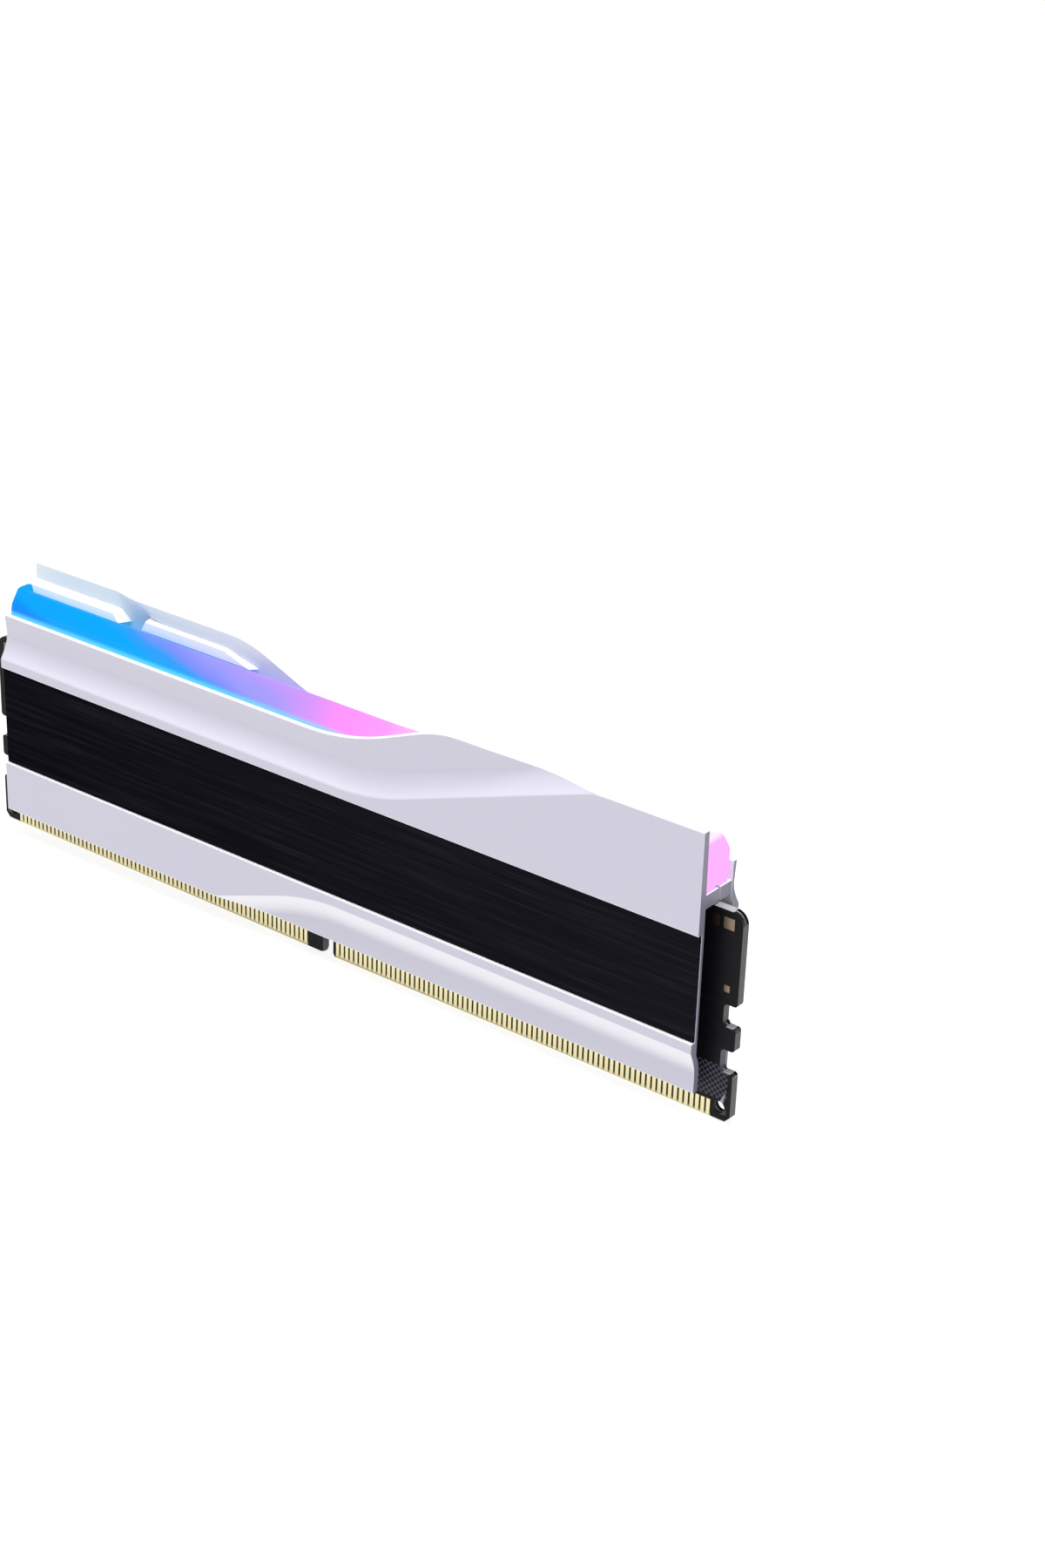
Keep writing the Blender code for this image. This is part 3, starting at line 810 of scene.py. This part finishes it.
def paint_material():
    """Fine satin powder coat, white with a breath of lavender, with painted shade on the sheet's end
    faces.

    It carries painted light from the light bar inside the module, and painted highlights where it faces
    up or down.
    """
    surface = Surface("spreader_paint")
    grain = surface.noise(7.0, 3.0)
    cloud = surface.noise(0.06, 2.0)
    normal_x, normal_y, normal_z = surface.axes(surface.normal)
    outward = surface.math("MULTIPLY", surface.axes(surface.place)[1], normal_y)
    # Painted light from the light bar on the inner faces.
    inner_glow_light = surface.fit(outward, -2.0, -1.0, 1.0, 0.0)
    # Painted highlights on faces that tilt up or down.
    upward_highlight = surface.fit(normal_z, 0.45, 0.75)
    downward_highlight = surface.fit(normal_z, -0.42, -0.02, 1.0, 0.0)
    # Painted shade darkens the faces that look along X, the sheet's end faces.
    end_face_shade = surface.fit(surface.math("ABSOLUTE", normal_x), 0.75, 0.97)
    tint = surface.vary(cloud, PAINT)
    tint = surface.mix(surface.fit(grain, 0.35, 0.65, 0.0, PAINT_GRAIN_SHARE), tint, PAINT_GRAIN)
    tint = surface.mix(inner_glow_light, tint, PAINT_INSIDE_GLOW_LIGHT)
    tint = surface.mix(upward_highlight, tint, PAINT_UPWARD_HIGHLIGHT)
    tint = surface.mix(downward_highlight, tint, PAINT_DOWNWARD_HIGHLIGHT)
    surface.use("Base Color", surface.mix(end_face_shade, tint, END_FACE_PAINTED_SHADE))
    surface.roughen(grain, 0.38, 0.50)
    surface.bump(grain, 0.004)
    return surface.material


def insert_material():
    """Black anodised aluminium, brushed along its length."""
    surface = Surface("insert_brushed", Metallic=1.0, Anisotropic=0.5)
    fine = surface.noise(9.0, 2.0, (120, 1, 1))
    broad = surface.noise(1.6, 3.0, (45, 1, 1))
    streak = surface.math("MULTIPLY", surface.fit(fine, 0.35, 0.75), surface.fit(broad, 0.3, 0.75))
    surface.use("Base Color", surface.vary(streak, INSERT_BLACK))
    surface.use("Specular Tint", INSERT_EDGE_TINT)
    surface.roughen(broad, 0.34, 0.46)
    surface.bump(fine, 0.006)
    return surface.material


def glow_place(surface, x, z):
    """The place in the run of glow colours, from 0 at its start to 1 at its end."""
    ahead = surface.math("MULTIPLY", surface.math("SUBTRACT", z, GLOW_LEVEL), GLOW_LEAN)
    ahead = surface.math("MINIMUM", ahead, GLOW_LEAN_LIMIT)
    drift = surface.fit(surface.noise(0.12, 1.0), *NOISE_RANGE, -GLOW_DRIFT, GLOW_DRIFT)
    share = surface.fit(x, *GLOW_LEVEL_SPAN, 1.0, 0.0)
    shift = surface.math("MULTIPLY", surface.math("ADD", ahead, drift), share)
    along = surface.math("SUBTRACT", surface.math("ADD", x, shift), GLOW_START)
    return surface.math("DIVIDE", along, GLOW_LENGTH, clamp=True)


def glow_material():
    """Frosted plastic lit from below, whose colour runs from blue through violet to pale pink."""
    surface = Surface("light_bar_frosted", Emission_Strength=GLOW_STRENGTH, Specular_IOR_Level=0.08)
    x, _, z = surface.axes(surface.place)
    frost = surface.noise(1.5, 3.0)
    stops = [((place - GLOW_START) / GLOW_LENGTH, linear(colour)) for place, colour in GLOW_COLOURS]
    colour = surface.colours(glow_place(surface, x, z), stops)
    edge = surface.fit(z, *GLOW_EDGE, GLOW_EDGE_SHARE, 0.0)
    edge = surface.math("MULTIPLY", edge, surface.fit(x, *GLOW_EDGE_END, 1.0, 0.0))
    colour = surface.mix(edge, colour, linear(GLOW_EDGE_COLOUR))
    crest = surface.math("MULTIPLY", surface.fit(z, *GLOW_CREST), surface.fit(x, *GLOW_CREST_START))
    colour = surface.mix(crest, colour, linear(GLOW_CREST_COLOUR))
    surface.use("Emission Color", colour)
    surface.use("Base Color", surface.mix(0.97, colour, BLACK))
    surface.roughen(frost, 0.30, 0.42)
    surface.bump(frost, 0.004)
    return surface.material


def copper_mesh(surface, x, z):
    """1 on the lines of the copper mesh under the solder mask near the board's ends, 0 elsewhere."""
    lines = [
        surface.math("PINGPONG", surface.math(operation, surface.math("ABSOLUTE", x), z), MESH_PITCH / 2)
        for operation in ("ADD", "SUBTRACT")
    ]
    mesh = surface.math("MAXIMUM", *[surface.fit(line, *MESH_LINE, 1.0, 0.0) for line in lines])
    along = surface.within(surface.math("ABSOLUTE", x), *MESH_SPAN)
    corner = surface.math("MULTIPLY", along, surface.within(z, *MESH_HEIGHTS))
    return surface.math("MULTIPLY", mesh, corner)


def rim_colour(surface, bare_and_unshaded, z):
    """The colour of the cut glass fibre, with a painted highlight where it faces up, and lighter along
    the card edge.
    """
    layers = surface.noise(8.0, 2.0, (1, 12, 1))
    # Painted highlight where the rim faces up.
    upward_highlight = surface.fit(surface.axes(surface.normal)[2], 0.5, 0.9)
    card_edge = surface.math("MULTIPLY", bare_and_unshaded, surface.within(z, *CARD_EDGE_HEIGHTS))
    fibre = surface.mix(upward_highlight, surface.vary(layers, RIM_FIBRE), RIM_UPWARD_HIGHLIGHT)
    return surface.mix(card_edge, fibre, CARD_EDGE)


def board_material():
    """Black solder mask over a copper mesh, with bare laminate round the contacts and a cut rim."""
    surface = Surface("board_mask", Specular_IOR_Level=0.12)
    x, _, z = surface.axes(surface.place)
    grain = surface.noise(5.0, 3.0)
    weave = surface.noise(2.5, 2.0, (6, 1, 1))
    mesh = copper_mesh(surface, x, z)
    bare_and_unshaded = surface.math("ADD", *[surface.within(x, *span) for span in MASK_FREE_SPANS])
    bare_and_unshaded = surface.math("MULTIPLY", bare_and_unshaded, surface.within(z, *MASK_FREE_HEIGHTS))
    laminate = surface.vary(weave, LAMINATE)
    laminate = surface.mix(surface.fit(z, *LAMINATE_FADE, 1.0, 0.0), laminate, LAMINATE_LOW)
    colour = surface.mix(mesh, surface.vary(grain, SOLDER_MASK), COPPER_MESH)
    colour = surface.mix(bare_and_unshaded, colour, laminate)
    facing = surface.math("ABSOLUTE", surface.axes(surface.normal)[1])
    rim = surface.fit(facing, 0.3, 0.8, 1.0, 0.0)
    surface.use("Base Color", surface.mix(rim, colour, rim_colour(surface, bare_and_unshaded, z)))
    surface.roughen(grain, 0.32, 0.48)
    surface.bump(surface.math("ADD", mesh, surface.math("MULTIPLY", grain, 0.2)), 0.02)
    return surface.material


def gold_material():
    """Hard gold plate, lightly scuffed along the way that it slides into the socket."""
    surface = Surface("contact_gold", Metallic=0.75)
    scuff = surface.noise(6.0, 3.0, (1, 1, 8))
    surface.use("Base Color", surface.vary(scuff, GOLD))
    surface.roughen(scuff, 0.24, 0.40)
    surface.bump(scuff, 0.002)
    return surface.material


def solder_material():
    """Dull tinned copper, with painted shadow of the spreader darkening the pads beside it."""
    surface = Surface("solder_pad", Metallic=0.9)
    grain = surface.noise(6.0, 3.0)
    out = surface.math("ABSOLUTE", surface.axes(surface.place)[0])
    # Painted shadow: pads nearer the middle than these distances are dark, as in the spreader's shadow.
    bare_and_unshaded = surface.fit(out, *SOLDER_SHADOW_END)
    surface.use("Base Color", surface.mix(bare_and_unshaded, PAD_SPREADER_SHADOW, surface.vary(grain, TINNED_COPPER)))
    surface.roughen(grain, 0.35, 0.60)
    surface.bump(grain, 0.01)
    return surface.material


def resin_material():
    """Black moulded chip resin."""
    surface = Surface("chip_resin")
    grain = surface.noise(9.0, 4.0)
    surface.use("Base Color", surface.vary(grain, RESIN))
    surface.roughen(grain, 0.48, 0.66)
    surface.bump(grain, 0.008)
    return surface.material


def ferrite_material():
    """Grey sintered ferrite."""
    surface = Surface("ferrite")
    grain = surface.noise(7.0, 5.0)
    surface.use("Base Color", surface.vary(grain, FERRITE))
    surface.roughen(grain, 0.55, 0.75)
    surface.bump(grain, 0.015)
    return surface.material


def capacitor_material():
    """Tan ceramic with tinned ends."""
    low, high = box_mm("capacitor_1")
    middle = (low.z + high.z) / 2
    surface = Surface("capacitor")
    grain = surface.noise(6.0, 3.0)
    away = surface.math("ABSOLUTE", surface.math("SUBTRACT", surface.axes(surface.place)[2], middle))
    tinned = surface.fit(away, *CAPACITOR_END_START)
    surface.use("Base Color", surface.mix(tinned, surface.vary(grain, CERAMIC), surface.vary(grain, TIN)))
    surface.use("Metallic", tinned)
    surface.use("Roughness", surface.fit(tinned, 0.0, 1.0, 0.55, 0.35))
    surface.bump(surface.math("ADD", tinned, surface.math("MULTIPLY", grain, 0.3)), 0.02)
    return surface.material


def diode_material():
    """White diode package with a yellowish phosphor window on its top."""
    top = box_mm("led_1")[1].z
    surface = Surface("diode", Emission_Strength=0.6)
    grain = surface.noise(8.0, 2.0)
    window_start, window_end = [top - depth for depth in DIODE_WINDOW_DEPTH]
    window = surface.fit(surface.axes(surface.place)[2], window_start, window_end)
    surface.use("Base Color", surface.mix(window, surface.vary(grain, DIODE_SHELL), DIODE_PHOSPHOR))
    surface.use("Emission Color", surface.mix(window, BLACK, DIODE_LIGHT))
    surface.roughen(grain, 0.25, 0.40)
    surface.bump(grain, 0.004)
    return surface.material


def pad_material():
    """Grey silicone filled with ceramic grains."""
    surface = Surface("thermal_pad")
    grain = surface.noise(4.0, 5.0)
    surface.use("Base Color", surface.vary(grain, SILICONE))
    surface.roughen(grain, 0.78, 0.92)
    surface.bump(grain, 0.03)
    return surface.material


def floor_material():
    """Pale matt sheet with a faint tooth, lit evenly from below as a light table is."""
    surface = Surface("floor_sheet", Emission_Strength=FLOOR_GLOW)
    surface.use("Emission Color", WHITE)
    tooth = surface.noise(0.4, 3.0)
    surface.use("Base Color", surface.vary(tooth, FLOOR_GREY))
    surface.roughen(tooth, 0.85, 0.95)
    surface.bump(tooth, 0.02)
    return surface.material


def finish_hidden_parts():
    """Gives the CAD nodes that stay their materials, by how their names start."""
    finishes = {
        ("memory_chip", "power_chip", "spd_hub", "light_controller"): resin_material(),
        ("inductor",): ferrite_material(),
        ("capacitor",): capacitor_material(),
        ("led",): diode_material(),
        ("thermal_pad",): pad_material(),
    }
    for name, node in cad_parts.items():
        for starts, material in finishes.items():
            if name.startswith(starts):
                node.data.materials.clear()
                node.data.materials.append(material)


# Surroundings.

def remove_startup_objects():
    """Removes what Blender's startup scene holds."""
    for name in STARTUP_OBJECTS:
        if name in bpy.data.objects:
            bpy.data.objects.remove(bpy.data.objects[name], do_unlink=True)


def make_floor():
    """The sheet that the module stands on."""
    bm = bmesh.new()
    bmesh.ops.create_grid(bm, x_segments=8, y_segments=8, size=FLOOR_HALF_SIZE * MM)
    floor = add_piece("floor", bm, floor_material())


def make_light():
    """A square soft box overhead, aimed at the module."""
    data = bpy.data.lights.new("top_box", "AREA")
    data.size = LIGHT_SIZE * MM
    data.energy = LIGHT_WATTS
    light = bpy.data.objects.new("top_box", data)
    light.location = Vector(LIGHT_PLACE) * MM
    aim = (Vector(LIGHT_AIM) - Vector(LIGHT_PLACE)) * MM
    light.rotation_euler = aim.to_track_quat("-Z", "Y").to_euler()
    bpy.context.scene.collection.objects.link(light)


def make_world():
    """Even white light from all around."""
    world = bpy.data.worlds.new("studio")
    world.use_nodes = True
    background = world.node_tree.nodes["Background"]
    background.inputs["Color"].default_value = (*WHITE, 1.0)
    background.inputs["Strength"].default_value = WORLD_STRENGTH
    bpy.context.scene.world = world


def make_camera():
    """The camera, which looks down at the module from the front right."""
    data = bpy.data.cameras.new("camera")
    data.lens = CAMERA_LENS
    camera = bpy.data.objects.new("camera", data)
    turn = (
        Matrix.Rotation(math.radians(CAMERA_AZIMUTH), 4, "Z")
        @ Matrix.Rotation(math.radians(90 - CAMERA_ELEVATION), 4, "X")
        @ Matrix.Rotation(math.radians(CAMERA_ROLL), 4, "Z")
    )
    camera.matrix_world = Matrix.Translation(Vector(CAMERA_PLACE) * MM) @ turn
    bpy.context.scene.collection.objects.link(camera)
    bpy.context.scene.camera = camera


def main():
    """Sets up the studio, then builds and finishes the pieces."""
    remove_startup_objects()
    bpy.context.scene.view_settings.view_transform = "Standard"
    make_camera()
    make_world()
    make_light()
    make_floor()

    paint = paint_material()
    insert = insert_material()
    gold = gold_material()
    for side in (FRONT, BACK):
        make_spreader(side, paint)
        make_insert(side, insert)
    make_light_bar(glow_material())
    make_board(board_material())
    make_contacts(gold)
    make_solder_pads(solder_material())
    finish_hidden_parts()


main()
